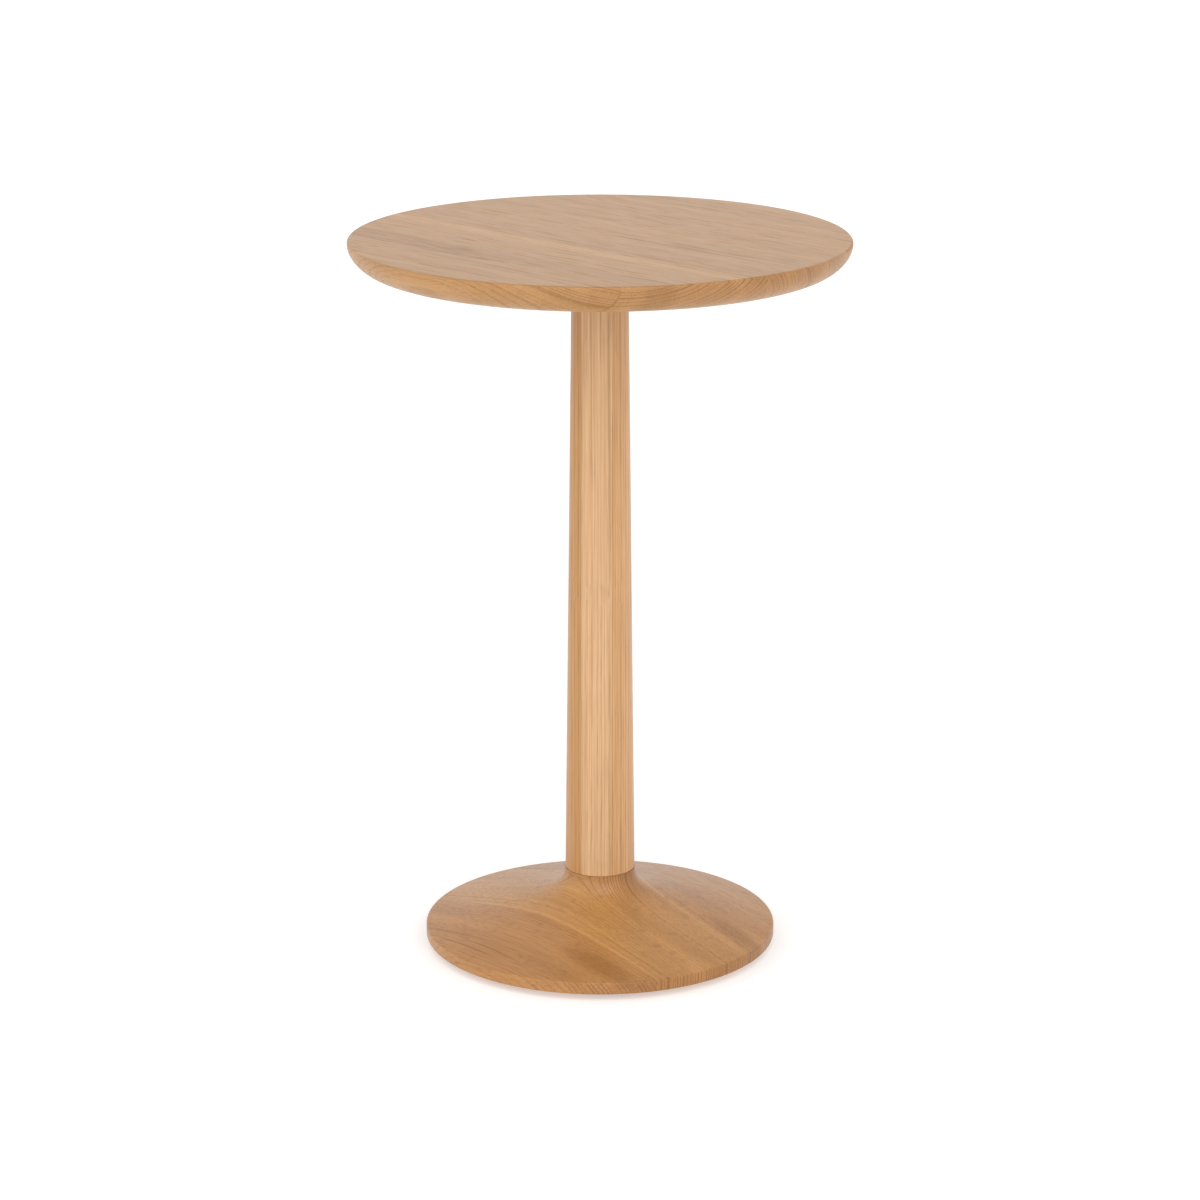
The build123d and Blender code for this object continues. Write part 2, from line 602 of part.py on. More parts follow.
with BuildPart() as catch_bolt:
    with BuildSketch(Plane.YZ):
        with BuildLine():
            Polyline(
                (BOLT_TIP, BOLT_HIGH),
                (BOLT_TIP, BOLT_HIGH - BOLT_NOSE_FLAT),
                (BOLT_TIP + BOLT_NOSE, BOLT_LOW),
                (BOLT_TAIL, BOLT_LOW),
                (BOLT_TAIL, BOLT_HIGH),
                close=True,
            )
        make_face()
    extrude(amount=BOLT_HALF_WIDTH, both=True)
    with Locations(Location((0, BOLT_TAIL - SPRING_BORE_DEPTH / 2, BOLT_MIDDLE), (90, 0, 0))):
        Cylinder(SPRING_BORE_RADIUS, SPRING_BORE_DEPTH, mode=Mode.SUBTRACT)
    bore(0, KNOB_Y, BOLT_LOW - 1, KNOB_STEM_TOP + 0.1, KNOB_STEM_RADIUS + GLUED_CLEARANCE)
catch_bolt.part.label = "catch_bolt"
export_step(catch_bolt.part, "parts/catch_bolt.step")

knob_collar = (KNOB_COLLAR_RADIUS, KNOB_SHOULDER)
knob_neck = (KNOB_NECK_RADIUS, KNOB_SHOULDER - KNOB_FLARE / 2)
knob_rim = (KNOB_RADIUS, KNOB_WIDEST)
knob_crown_radius = (KNOB_RADIUS**2 + KNOB_CROWN**2) / (2 * KNOB_CROWN)
with BuildPart() as catch_knob:
    with BuildSketch(Plane.XZ):
        with BuildLine():
            Polyline(
                (0, KNOB_WIDEST - KNOB_CROWN),
                (0, KNOB_STEM_TOP),
                (KNOB_STEM_RADIUS, KNOB_STEM_TOP),
                (KNOB_STEM_RADIUS, KNOB_SHOULDER),
                knob_collar,
            )
            ThreePointArc(knob_collar, knob_neck, knob_rim)
            RadiusArc(knob_rim, (0, KNOB_WIDEST - KNOB_CROWN), knob_crown_radius)
        make_face()
    revolve(axis=Axis.Z)
    catch_knob.part.move(Location((0, KNOB_Y, 0)))
catch_knob.part.label = "catch_knob"
export_step(catch_knob.part, "parts/catch_knob.step")

spring_front = BOLT_TAIL - SPRING_BORE_DEPTH + 0.2
spring_back = CHANNEL_END - 0.2
with BuildPart() as catch_spring:
    with BuildSketch(Plane.XZ.offset(-spring_front)):
        with Locations((0, BOLT_MIDDLE)):
            Circle(SPRING_RADIUS)
            Circle(SPRING_RADIUS - SPRING_WIRE, mode=Mode.SUBTRACT)
    extrude(amount=-(spring_back - spring_front))
catch_spring.part.label = "catch_spring"
export_step(catch_spring.part, "parts/catch_spring.step")

# ---- Strike plate on the block's back face, round the bolt's mortise ------------

with BuildPart() as strike_plate:
    with Locations((0, BLOCK_HALF + STRIKE_THICKNESS / 2, BOLT_MIDDLE)):
        Box(2 * STRIKE_HALF_WIDTH, STRIKE_THICKNESS, 2 * STRIKE_HALF_HEIGHT)
        Box(
            2 * (BOLT_HALF_WIDTH + MORTISE_CLEARANCE),
            3 * STRIKE_THICKNESS,
            BOLT_HEIGHT + 2 * MORTISE_CLEARANCE,
            mode=Mode.SUBTRACT,
        )
    corners = strike_plate.edges().filter_by(Axis.Y).filter_by(lambda edge: abs(edge.center().X) > 10)
    fillet(corners, STRIKE_ROUND)
    with Locations(*[Location((x, STRIKE_FACE, BOLT_MIDDLE), (-90, 0, 0)) for x in strike_screw_places]):
        CounterSinkHole(radius=1.4, counter_sink_radius=2.6, depth=STRIKE_THICKNESS)
strike_plate.part.label = "strike_plate"
export_step(strike_plate.part, "parts/strike_plate.step")

with BuildPart() as strike_screws:
    for x in strike_screw_places:
        with Locations(Location((x, STRIKE_SCREW_FOOT, BOLT_MIDDLE), (90, 0, 0))):
            add(wood_screw(*STRIKE_SCREW))
strike_screws.part.label = "strike_screws"
export_step(strike_screws.part, "parts/strike_screws.step")
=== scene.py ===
# %% [markdown]
# # A round oak table whose top tilts up
#
# The table is a turned oak top on a slim turned column, standing on a low turned
# base. Under the top sit the parts that let it tilt: two bearers, a block, a steel
# pivot rod in brass bushes, and a sprung brass catch. The imported model is the fixed
# frame: it gives every size and place, and this lesson gives every piece its finish.
# The first cell loads the frame and hangs its parts on their moving bodies.

# %% Load the frame
import json
from math import cos, pi, radians, sin

import bmesh
import bpy
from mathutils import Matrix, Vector

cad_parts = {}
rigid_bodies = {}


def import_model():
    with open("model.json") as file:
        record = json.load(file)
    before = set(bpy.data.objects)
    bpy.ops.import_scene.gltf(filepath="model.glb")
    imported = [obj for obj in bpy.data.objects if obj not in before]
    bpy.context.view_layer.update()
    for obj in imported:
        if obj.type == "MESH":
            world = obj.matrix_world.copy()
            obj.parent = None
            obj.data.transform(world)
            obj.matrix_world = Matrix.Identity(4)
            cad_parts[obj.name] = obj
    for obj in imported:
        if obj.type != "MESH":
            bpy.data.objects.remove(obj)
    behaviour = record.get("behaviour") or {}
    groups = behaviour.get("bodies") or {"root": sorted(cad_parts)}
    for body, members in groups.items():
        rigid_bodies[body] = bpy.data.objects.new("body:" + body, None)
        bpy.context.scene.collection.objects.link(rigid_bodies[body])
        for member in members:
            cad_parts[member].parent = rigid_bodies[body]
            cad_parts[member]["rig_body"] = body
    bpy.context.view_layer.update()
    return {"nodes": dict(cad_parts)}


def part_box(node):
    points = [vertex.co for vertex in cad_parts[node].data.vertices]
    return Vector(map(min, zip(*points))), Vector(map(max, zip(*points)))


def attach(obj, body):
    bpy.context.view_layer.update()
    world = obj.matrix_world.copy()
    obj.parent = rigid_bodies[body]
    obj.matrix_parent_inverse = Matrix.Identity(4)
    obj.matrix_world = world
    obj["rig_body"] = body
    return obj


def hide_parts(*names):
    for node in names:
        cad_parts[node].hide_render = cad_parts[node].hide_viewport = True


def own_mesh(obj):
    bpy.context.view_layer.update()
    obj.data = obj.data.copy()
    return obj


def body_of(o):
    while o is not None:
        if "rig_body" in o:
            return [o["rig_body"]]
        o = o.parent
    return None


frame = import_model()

MM = 0.001
nodes = frame["nodes"]

# %% [markdown]
# ## Where the eye is
#
# A long lens from almost three metres away keeps the table's sides nearly parallel,
# the way a catalogue picture does. It could be aimed with a tracking constraint, but
# a turn worked out once is plainer and can't drift. The camera stands level with
# nothing: it is a little above the top and looks down by a sixth of a right angle.

# %% Camera
EYE_DISTANCE = 2.8127
EYE_HEIGHT = 1.0827
EYE_AZIMUTH = radians(45)
EYE_PITCH = 0.279
SENSOR_WIDTH = 36.0
FOCAL_SHARE = 3.16033  # the lens's focal length as a share of the sensor's width

camera = bpy.data.objects.new("camera", bpy.data.cameras.new("camera"))
camera.data.sensor_width = SENSOR_WIDTH
camera.data.lens = SENSOR_WIDTH * FOCAL_SHARE
camera.location = (
    EYE_DISTANCE * sin(EYE_AZIMUTH),
    -EYE_DISTANCE * cos(EYE_AZIMUTH),
    EYE_HEIGHT,
)
camera.rotation_euler = (pi / 2 - EYE_PITCH, 0, EYE_AZIMUTH)
bpy.context.scene.collection.objects.link(camera)
bpy.context.scene.camera = camera
print("camera at", [round(value, 3) for value in camera.location])

# %% [markdown]
# ## Floor and light
#
# Lacquered wood looks pale where it mirrors a bright wall at a shallow angle, and rich
# where it doesn't, so the surroundings matter as much as the lamps. The sky here is a
# white cove: bright round the horizon and dimmer overhead. Area lamps fade with
# distance and would leave the floor patchy, so the shaping light is two suns with
# very wide, soft discs. The floor is like a lit acrylic sheet: white, with
# some light of its own, which keeps the shadow faint.

# %% Floor, sky and soft suns
FLOOR_SIZE = 60.0
HORIZON_LIGHT = 1.12
ZENITH_LIGHT = 0.5

floor_mesh = bpy.data.meshes.new("floor")
half = FLOOR_SIZE / 2
floor_mesh.from_pydata(
    [(-half, -half, 0), (half, -half, 0), (half, half, 0), (-half, half, 0)], [], [(0, 1, 2, 3)]
)
floor = bpy.data.objects.new("floor", floor_mesh)
bpy.context.scene.collection.objects.link(floor)

paint = bpy.data.materials.new("floor acrylic")
paint.use_nodes = True
paint_shader = paint.node_tree.nodes["Principled BSDF"]
paint_shader.inputs["Base Color"].default_value = (0.72, 0.72, 0.72, 1)
paint_shader.inputs["Roughness"].default_value = 0.9
paint_shader.inputs["Specular IOR Level"].default_value = 0.1
paint_shader.inputs["Emission Color"].default_value = (1, 1, 1, 1)
paint_shader.inputs["Emission Strength"].default_value = 0.4
floor_mesh.materials.append(paint)

sky = bpy.data.worlds.new("studio")
sky.use_nodes = True
sky_tree = sky.node_tree
sky_up = sky_tree.nodes.new("ShaderNodeSeparateXYZ")
sky_fall = sky_tree.nodes.new("ShaderNodeMapRange")
sky_tree.links.new(sky_tree.nodes.new("ShaderNodeTexCoord").outputs["Generated"], sky_up.inputs[0])
sky_tree.links.new(sky_up.outputs["Z"], sky_fall.inputs["Value"])
sky_fall.interpolation_type = "SMOOTHSTEP"
sky_fall.inputs["From Min"].default_value = 0.2
sky_fall.inputs["From Max"].default_value = 0.85
sky_fall.inputs["To Min"].default_value = HORIZON_LIGHT
sky_fall.inputs["To Max"].default_value = ZENITH_LIGHT
sky_tree.links.new(sky_fall.outputs[0], sky_tree.nodes["Background"].inputs["Strength"])
sky_tree.nodes["Background"].inputs["Color"].default_value = (1, 1, 1, 1)
bpy.context.scene.world = sky


def soft_sun(name, azimuth, elevation, strength, spread):
    """A sun that shines from a bearing, measured as the camera's is, and a height, in degrees."""
    lamp = bpy.data.lights.new(name, "SUN")
    lamp.energy = strength
    lamp.angle = radians(spread)
    sun = bpy.data.objects.new(name, lamp)
    sun.rotation_euler = (radians(90 - elevation), 0, radians(azimuth))
    bpy.context.scene.collection.objects.link(sun)


soft_sun("key_light", azimuth=62, elevation=45, strength=0.9, spread=60)
soft_sun("fill_light", azimuth=0, elevation=40, strength=0.5, spread=80)
bpy.context.scene.view_settings.view_transform = "Standard"
print("lamps:", len(bpy.data.lights))

# %% [markdown]
# ## Oak
#
# Oak is a ring-porous wood. Each year starts with a band of wide pores and ends with
# dense, smooth summer wood, and thin rays run outwards from the pith. A flat picture
# of grain would smear on the rounded rims, so the wood is solid: a point's colour
# depends on where it lies in the log. The group below takes a point in millimetres,
# with the pith along X, and answers with how dark the ring is there, whether it is in
# a pore, and whether it is in a ray.

# %% Helpers for shader trees


def step(tree, kind, feeds=(), **options):
    """Add a node, set its options, and feed its inputs with numbers or other nodes' outputs."""
    node = tree.nodes.new(kind)
    for option, value in options.items():
        setattr(node, option, value)
    for socket, value in dict(feeds).items():
        if isinstance(value, bpy.types.NodeSocket):
            tree.links.new(value, node.inputs[socket])
        else:
            node.inputs[socket].default_value = value
    return node


def reckon(tree, operation, *values, **options):
    """A Math node's answer."""
    return step(tree, "ShaderNodeMath", enumerate(values), operation=operation, **options).outputs[0]


def vector_reckon(tree, operation, *values):
    """A Vector Math node's answer, a number for LENGTH and a vector for the rest."""
    node = step(tree, "ShaderNodeVectorMath", enumerate(values), operation=operation)
    return node.outputs["Value" if operation == "LENGTH" else "Vector"]


def fade(tree, value, low, high, low_gives=0.0, high_gives=1.0):
    """Smoothly from one answer to another as value goes from low to high."""
    feeds = {"Value": value, 1: low, 2: high, 3: low_gives, 4: high_gives}
    return step(tree, "ShaderNodeMapRange", feeds, interpolation_type="SMOOTHSTEP").outputs[0]


def mottle(tree, where, scale, detail=2.0, roughness=0.5):
    """A noise from 0 to 1 on a vector."""
    feeds = {"Vector": where, "Scale": scale, "Detail": detail, "Roughness": roughness}
    return step(tree, "ShaderNodeTexNoise", feeds).outputs[0]


def nearest_cell(tree, where):
    """How far a vector is from the middle of the nearest of many scattered cells."""
    return step(tree, "ShaderNodeTexVoronoi", {"Vector": where, "Scale": 1.0}).outputs["Distance"]


def tint(tree, share, first, second, mode="MIX"):
    """Mix two colours."""
    feeds = {0: share, 6: first, 7: second}
    return step(tree, "ShaderNodeMix", feeds, data_type="RGBA", blend_type=mode).outputs[2]


# %% The grain of one log
def grain_group():
    """Point in a log, in millimetres with the pith along X, to the marks of oak, each 0 to 1."""
    tree = bpy.data.node_groups.new("oak grain", "ShaderNodeTree")
    tree.interface.new_socket("Point", in_out="INPUT", socket_type="NodeSocketVector")
    tree.interface.new_socket("Ring width", in_out="INPUT", socket_type="NodeSocketFloat")
    tree.interface.new_socket("Wander", in_out="INPUT", socket_type="NodeSocketFloat")
    for name in ("Ring", "Pore", "Ray", "Streak", "Cloud"):
        tree.interface.new_socket(name, in_out="OUTPUT", socket_type="NodeSocketFloat")
    given = tree.nodes.new("NodeGroupInput").outputs
    answer = tree.nodes.new("NodeGroupOutput").inputs

    # The log isn't quite straight: shift each point a little, slowly along the grain.
    along = vector_reckon(tree, "MULTIPLY", given["Point"], (0.0035, 0.012, 0.012))
    drift = step(tree, "ShaderNodeTexNoise", {"Vector": along, "Scale": 1.0, "Detail": 2.0}).outputs["Color"]
    drift = vector_reckon(tree, "SUBTRACT", drift, (0.5, 0.5, 0.5))
    stretch = {0: drift, "Scale": given["Wander"]}
    drift = step(tree, "ShaderNodeVectorMath", stretch, operation="SCALE").outputs["Vector"]
    point = vector_reckon(tree, "ADD", given["Point"], drift)
    x, y, z = step(tree, "ShaderNodeSeparateXYZ", {0: point}).outputs
    from_pith = vector_reckon(tree, "LENGTH", vector_reckon(tree, "MULTIPLY", point, (0.0, 1.0, 1.0)))
    bearing = reckon(tree, "ARCTAN2", z, y)

    # Rings: no two years are as wide as each other. season runs from 0, in spring, to 1.
    years = reckon(tree, "DIVIDE", from_pith, given["Ring width"])
    uneven = step(
        tree, "ShaderNodeTexNoise", {"W": from_pith, "Scale": 0.09, "Detail": 2.0}, noise_dimensions="1D"
    ).outputs[0]
    years = reckon(tree, "ADD", years, reckon(tree, "MULTIPLY", uneven, 3.5))
    season = reckon(tree, "FRACT", years)
    vigour = step(
        tree, "ShaderNodeTexWhiteNoise", {"W": reckon(tree, "FLOOR", years)}, noise_dimensions="1D"
    ).outputs[0]
    opens = fade(tree, season, 0.0, 0.1)
    closes = fade(tree, season, 0.18, 0.45, 1.0, 0.0)
    spring_wood = reckon(tree, "MULTIPLY", opens, closes)
    spring_wood = reckon(tree, "MULTIPLY", spring_wood, fade(tree, vigour, 0.0, 1.0, 0.35, 1.0))
    tree.links.new(spring_wood, answer["Ring"])

    # Pores: long thin vessels, crowded in the spring wood.
    cells = vector_reckon(tree, "MULTIPLY", point, (0.025, 1.15, 1.15))
    pore = fade(tree, nearest_cell(tree, cells), 0.2, 0.5, 1.0, 0.0)
    crowd = fade(tree, season, 0.3, 0.6, 1.0, 0.3)
    tree.links.new(reckon(tree, "MULTIPLY", pore, crowd), answer["Pore"])

    # Rays: ribbons that run outwards from the pith, so thin dashes or wide flakes.
    ribbon = step(
        tree,
        "ShaderNodeCombineXYZ",
        {
            0: reckon(tree, "MULTIPLY", x, 0.07),
            1: reckon(tree, "MULTIPLY", bearing, 95.0),
            2: reckon(tree, "MULTIPLY", from_pith, 0.05),
        },
    ).outputs[0]
    tree.links.new(fade(tree, nearest_cell(tree, ribbon), 0.1, 0.3, 1.0, 0.0), answer["Ray"])

    # Fibre streaks a millimetre wide, and broad soft bands of heartwood.
    fibres = vector_reckon(tree, "MULTIPLY", point, (0.004, 0.85, 0.85))
    tree.links.new(mottle(tree, fibres, 1.0, 3.0, 0.55), answer["Streak"])
    bands = vector_reckon(tree, "MULTIPLY", point, (0.0018, 0.06, 0.06))
    tree.links.new(mottle(tree, bands, 1.0, 2.0, 0.5), answer["Cloud"])
    return tree


GRAIN = grain_group()
print("grain tree:", len(GRAIN.nodes), "nodes")


# %% [markdown]
# ## Oak boards
#
# One recipe makes every board, with a colour, a place in the log and its own marks.
# Separate pictures for each board could be closer to one real table, but they would
# smear round the turned edges. End grain drinks more lacquer, so where the surface
# cuts across the grain it is darker and its rings are stronger. Marks are long ovals
# in plan that darken the wood, or lighten it where their strength is below nought:
# they stand for glue lines, mineral streaks and bands of heartwood.

# %% One board of oak
LOG_TURNS = {"X": (0, 0, 0), "Y": (0, 0, radians(-90)), "Z": (0, radians(90), 0)}
END_SHADE = (0.86, 0.80, 0.76, 1)
PALER = (1.17, 1.20, 1.27)
DARKER = (0.74, 0.68, 0.56)


def shade(colour, factors):
    """A colour with each channel multiplied, and a full alpha."""
    return tuple(channel * factor for channel, factor in zip(colour, factors)) + (1,)


def add_marks(tree, tone, place, marks):
    """Darken the tone in ovals of (x, y, turn, half length, half width, strength), in mm and degrees."""
    for x, y, turn, half_length, half_width, strength in marks:
        oval = {
            "Vector": place,
            "Location": (x * MM, y * MM, 0),
            "Rotation": (0, 0, radians(turn)),
            "Scale": (half_length * MM, half_width * MM, 1),
        }
        inside = step(tree, "ShaderNodeMapping", oval, vector_type="TEXTURE").outputs[0]
        inside = vector_reckon(tree, "MULTIPLY", inside, (1, 1, 0))
        inside = fade(tree, vector_reckon(tree, "LENGTH", inside), 0.3, 1.0, 1.0, 0.0)
        tone = reckon(tree, "MULTIPLY_ADD", inside, strength, tone)
    return tone


def oak(name, colour, pith, along="X", shift=0.0, marks=(), wander=9.0, tilt=0.0, ring=2.9,
        rings=0.36, end_rings=2.2, end_shade=END_SHADE, streaks=0.8, clouds=0.8, pores=0.3, rays=0.2,
        gloss=0.36):
    """Satin oak from a log whose pith is at two places across its grain, in millimetres."""
    wood = bpy.data.materials.new(name)
    wood.use_nodes = True
    tree = wood.node_tree
    shader = tree.nodes["Principled BSDF"]
    given = tree.nodes.new("ShaderNodeTexCoord").outputs
    mapping = {"Vector": given["Object"], "Rotation": LOG_TURNS[along], "Scale": (1000, 1000, 1000)}
    log = step(tree, "ShaderNodeMapping", mapping).outputs[0]
    log = vector_reckon(tree, "SUBTRACT", log, (0, pith[0], pith[1]))
    lean = step(tree, "ShaderNodeSeparateXYZ", {0: log}).outputs[0]
    lean = step(tree, "ShaderNodeCombineXYZ", {0: shift, 2: reckon(tree, "MULTIPLY", lean, tilt)}).outputs[0]
    grain = step(tree, "ShaderNodeGroup", {}, node_tree=GRAIN)
    tree.links.new(vector_reckon(tree, "ADD", log, lean), grain.inputs["Point"])
    grain.inputs["Ring width"].default_value = ring
    grain.inputs["Wander"].default_value = wander
    found = grain.outputs

    facing = step(tree, "ShaderNodeSeparateXYZ", {0: given["Normal"]}).outputs[along]
    end = reckon(tree, "MULTIPLY", facing, facing)
    tone = reckon(tree, "MULTIPLY_ADD", found["Streak"], streaks, 0.42 - 0.5 * (streaks + clouds))
    tone = reckon(tree, "MULTIPLY_ADD", found["Cloud"], clouds, tone)
    ring_strength = reckon(tree, "MULTIPLY_ADD", end, end_rings * rings, rings)
    tone = reckon(tree, "MULTIPLY_ADD", found["Ring"], ring_strength, tone)
    tone = step(tree, "ShaderNodeClamp", {0: add_marks(tree, tone, given["Object"], marks)}).outputs[0]
    mixed = tint(tree, tone, shade(colour, PALER), shade(colour, DARKER))
    vessel = shade(colour, (0.4, 0.36, 0.3))
    pore_strength = reckon(tree, "MULTIPLY_ADD", end, pores, pores)
    mixed = tint(tree, reckon(tree, "MULTIPLY", found["Pore"], pore_strength), mixed, vessel)
    mixed = tint(tree, reckon(tree, "MULTIPLY", found["Ray"], rays), mixed, vessel)
    mixed = tint(tree, end, mixed, tint(tree, 1.0, mixed, end_shade, mode="MULTIPLY"))
    tree.links.new(mixed, shader.inputs["Base Color"])

    tree.links.new(reckon(tree, "MULTIPLY_ADD", found["Pore"], 0.2, gloss), shader.inputs["Roughness"])
    relief = reckon(tree, "MULTIPLY_ADD", found["Pore"], -0.7, reckon(tree, "MULTIPLY", found["Streak"], 0.3))
    bump = step(tree, "ShaderNodeBump", {"Strength": 0.3, "Distance": 0.0002, "Height": relief})
    tree.links.new(bump.outputs[0], shader.inputs["Normal"])
    return wood


def finish(node, material):
    """Give a CAD node a finish."""
    mesh = nodes[node].data
    mesh.materials.clear()
    mesh.materials.append(material)


# %% [markdown]
# ## The top
#
# Four boards side by side, glued edge to edge and turned in one piece. Each is cut
# from another place, so the rings differ from board to board, and the joints show
# best on the rounded-under edge. The middle boards come from near the outside of the
# log with the pith above them, which gives bowl-shaped arcs on the end grain.

# %% The top's boards
TOP_OAK = (0.478, 0.248, 0.087)
front_joint = (131, -124, 0, 17, 1.1, 0.8)
top_boards = {
    "top_board_1": {"pith": (-112, 630), "marks": [front_joint, (-20, -131, 0, 90, 1.8, 0.45)]},
    "top_board_2": {
        "pith": (-118, 648),
        "shift": 300,
        "marks": [front_joint, (60, -100, 0, 340, 15, 0.3), (-60, -44, 0, 340, 12, -0.35)],
    },
    "top_board_3": {
        "pith": (330, 760),
        "shift": 700,
        "end_rings": 0.9,
        "marks": [(72, 14, 0, 105, 2.4, 1.1), (95, 21, 3, 66, 5, 0.35), (155, 36, -30, 34, 9, 0.22)],
    },
    "top_board_4": {
        "pith": (420, 700),
        "shift": 1200,
        "end_rings": 0.9,
        "marks": [(-30, 110, 0, 120, 3, 0.2)],
    },
}
for node, log in top_boards.items():
    finish(node, oak("oak, " + node, TOP_OAK, **log))
print("top boards:", len(top_boards))

# %% [markdown]
# ## The column
#
# Three layers glued face to face, then turned. The layers are quartersawn, so their
# rings stand almost square to the face and show as fine straight lines that run the
# column's whole height. The middle layer is paler and whiter than the two outside it:
# partly a paler wood, and partly a painted highlight down the middle of the column.

# %% The column's layers
quartersawn = {
    "along": "Z",
    "wander": 2.5,
    "ring": 2.6,
    "rings": 0.4,
    "streaks": 1.5,
    "clouds": 0.7,
    "rays": 0.05,
}
column_layers = {
    "column_layer_1": {"colour": (0.50, 0.252, 0.081), "pith": (-170, 150)},
    # The middle layer's pale, whitish colour is partly the wood and partly a painted highlight.
    "column_layer_2": {"colour": (0.62, 0.374, 0.188), "pith": (150, -165), "shift": 900},
    "column_layer_3": {"colour": (0.59, 0.326, 0.143), "pith": (190, -150), "shift": 1500},
}
for node, log in column_layers.items():
    finish(node, oak("oak, " + node, **quartersawn, **log))
print("column layers:", len(column_layers))

# %% [markdown]
# ## The base
#
# Three thick boards, glued and turned to a dome. The turning cuts through many years
# of growth, so the wood must be sawn with its rings upright, or every ring would show
# as an oval round the neck. The glue lines are thin and pale, and the back board is
# a browner piece. The rim's end grain is finely ridged. Where the surface faces along
# the grain, the base is darker than the other pieces: partly its end grain, and partly
# painted shade on the rim down by the floor.

# %% The base's boards
upright = {
    "wander": 7.0,
    "ring": 2.4,
    "rings": 0.3,
    "end_rings": 5.0,
    # Stronger end shade: partly end grain, partly painted shade that darkens the rim by the floor.
    "end_shade": (0.76, 0.68, 0.60, 1),
    "streaks": 1.0,
    "clouds": 1.2,
}
joint_a = (0, -61, 0, 150, 2.4, -0.6)
joint_b = (0, 28.5, 0, 150, 2.2, -0.5)
base_boards = {
    "base_board_1": {
        "colour": (0.455, 0.215, 0.068),
        "pith": (-420, -150),
        "marks": [
            joint_a,
            (78, -82, 0, 46, 19, 0.45),
            (-22, -121, -3, 42, 1.6, 0.8),
            (-6, -115, -3, 40, 1.2, 0.7),
            (-50, -109, 2, 46, 1.4, 0.6),
        ],
    },
    "base_board_2": {
        "colour": (0.49, 0.242, 0.076),
        "pith": (-500, 40),
        "shift": 400,
        "marks": [joint_a, joint_b, (30, 12, 45, 12, 9, 0.35)],
    },
    "base_board_3": {
        "colour": (0.452, 0.216, 0.068),
        "pith": (520, -90),
        "shift": 800,
        "marks": [joint_b, (104, 42, 0, 36, 12, 0.45), (40, 60, 0, 60, 6, 0.2)],
    },
}
for node, log in base_boards.items():
    finish(node, oak("oak, " + node, **upright, **log))
print("base boards:", len(base_boards))

# %% [markdown]
# ## The parts that tilt
#
# The bearers run across the top's boards to hold them flat, and the block is a square
# of the same oak on the column's head. They are out of sight, so they are planed and
# oiled, less glossy than the rest. The wedge in the column's head is a darker offcut,
# so that it reads as a wedge.

# %% Bearers, block and wedge
HIDDEN_OAK = (0.44, 0.24, 0.10)
hidden_pieces = {
    "bearer_left": {"pith": (70, 470), "along": "Y"},
    "bearer_right": {"pith": (-60, 480), "along": "Y", "shift": 500},
    "tilt_block": {"pith": (40, 480), "shift": 200},
}
for node, log in hidden_pieces.items():
    finish(node, oak("oak, " + node, HIDDEN_OAK, gloss=0.55, **log))
finish("tenon_wedge", oak("oak, tenon_wedge", (0.30, 0.15, 0.06), (20, 60), along="Z", gloss=0.55))
print("hidden oak:", len(hidden_pieces) + 1)

# %% [markdown]
# ## Metals
#
# The recipes share one idea. Fine lines stretched along the way the metal was worked
# make the reflection streaky, and soft clouds dull it here and there. An anisotropic
# shader would give the streaks with no lines at all. Brass is warm and a little
# tarnished, zinc plate is grey with a faint yellow and blue cast, and steel is neutral.

# %% Metal and its colours


def metal(name, colour, cast, roughness, lines, bite=0.3, gloss_range=0.18):
    """Worked metal. lines is how many tool marks a metre along each axis, few along the way it was worked."""
    made = bpy.data.materials.new(name)
    made.use_nodes = True
    tree = made.node_tree
    shader = tree.nodes["Principled BSDF"]
    shader.inputs["Metallic"].default_value = 1.0
    place = tree.nodes.new("ShaderNodeTexCoord").outputs["Object"]
    marks = mottle(tree, vector_reckon(tree, "MULTIPLY", place, lines), 1.0, 3.0, 0.6)
    dulled = mottle(tree, place, 160.0, 4.0, 0.6)
    shared = reckon(tree, "MULTIPLY_ADD", marks, 0.35, reckon(tree, "MULTIPLY", dulled, 0.65))
    blend = fade(tree, shared, 0.35, 0.7)
    tree.links.new(tint(tree, blend, colour + (1,), cast + (1,)), shader.inputs["Base Color"])
    rough = reckon(tree, "MULTIPLY_ADD", marks, gloss_range, roughness - gloss_range / 2)
    tree.links.new(rough, shader.inputs["Roughness"])
    bump = step(tree, "ShaderNodeBump", {"Strength": bite, "Distance": 0.00005, "Height": marks})
    tree.links.new(bump.outputs[0], shader.inputs["Normal"])
    return made


BRUSHED_X = (60, 4000, 4000)
BRUSHED_Y = (4000, 60, 4000)
TURNED_Z = (500, 500, 6000)
brass = metal("brushed brass", (0.72, 0.50, 0.21), (0.52, 0.33, 0.12), 0.3, BRUSHED_Y)
turned_brass = metal("turned brass", (0.74, 0.53, 0.23), (0.60, 0.40, 0.15), 0.22, TURNED_Z)
ground_steel = metal("ground steel", (0.62, 0.62, 0.62), (0.50, 0.50, 0.52), 0.2, BRUSHED_X)
zinc = metal("zinc plate", (0.62, 0.62, 0.60), (0.48, 0.50, 0.55), 0.36, (900, 900, 900), bite=0.5)
wire = metal("drawn spring wire", (0.45, 0.45, 0.46), (0.32, 0.31, 0.31), 0.3, (3000, 3000, 3000))

for node in ("catch_case", "catch_bolt", "strike_plate"):
    finish(node, brass)
for node in ("pivot_bush_left", "pivot_bush_right", "catch_knob"):
    finish(node, turned_brass)
finish("pivot_rod", ground_steel)
for node in ("column_insert", "fixing_bolt", "fixing_washer"):
    finish(node, zinc)
print("metals:", [made.name for made in (brass, turned_brass, ground_steel, zinc, wire)])
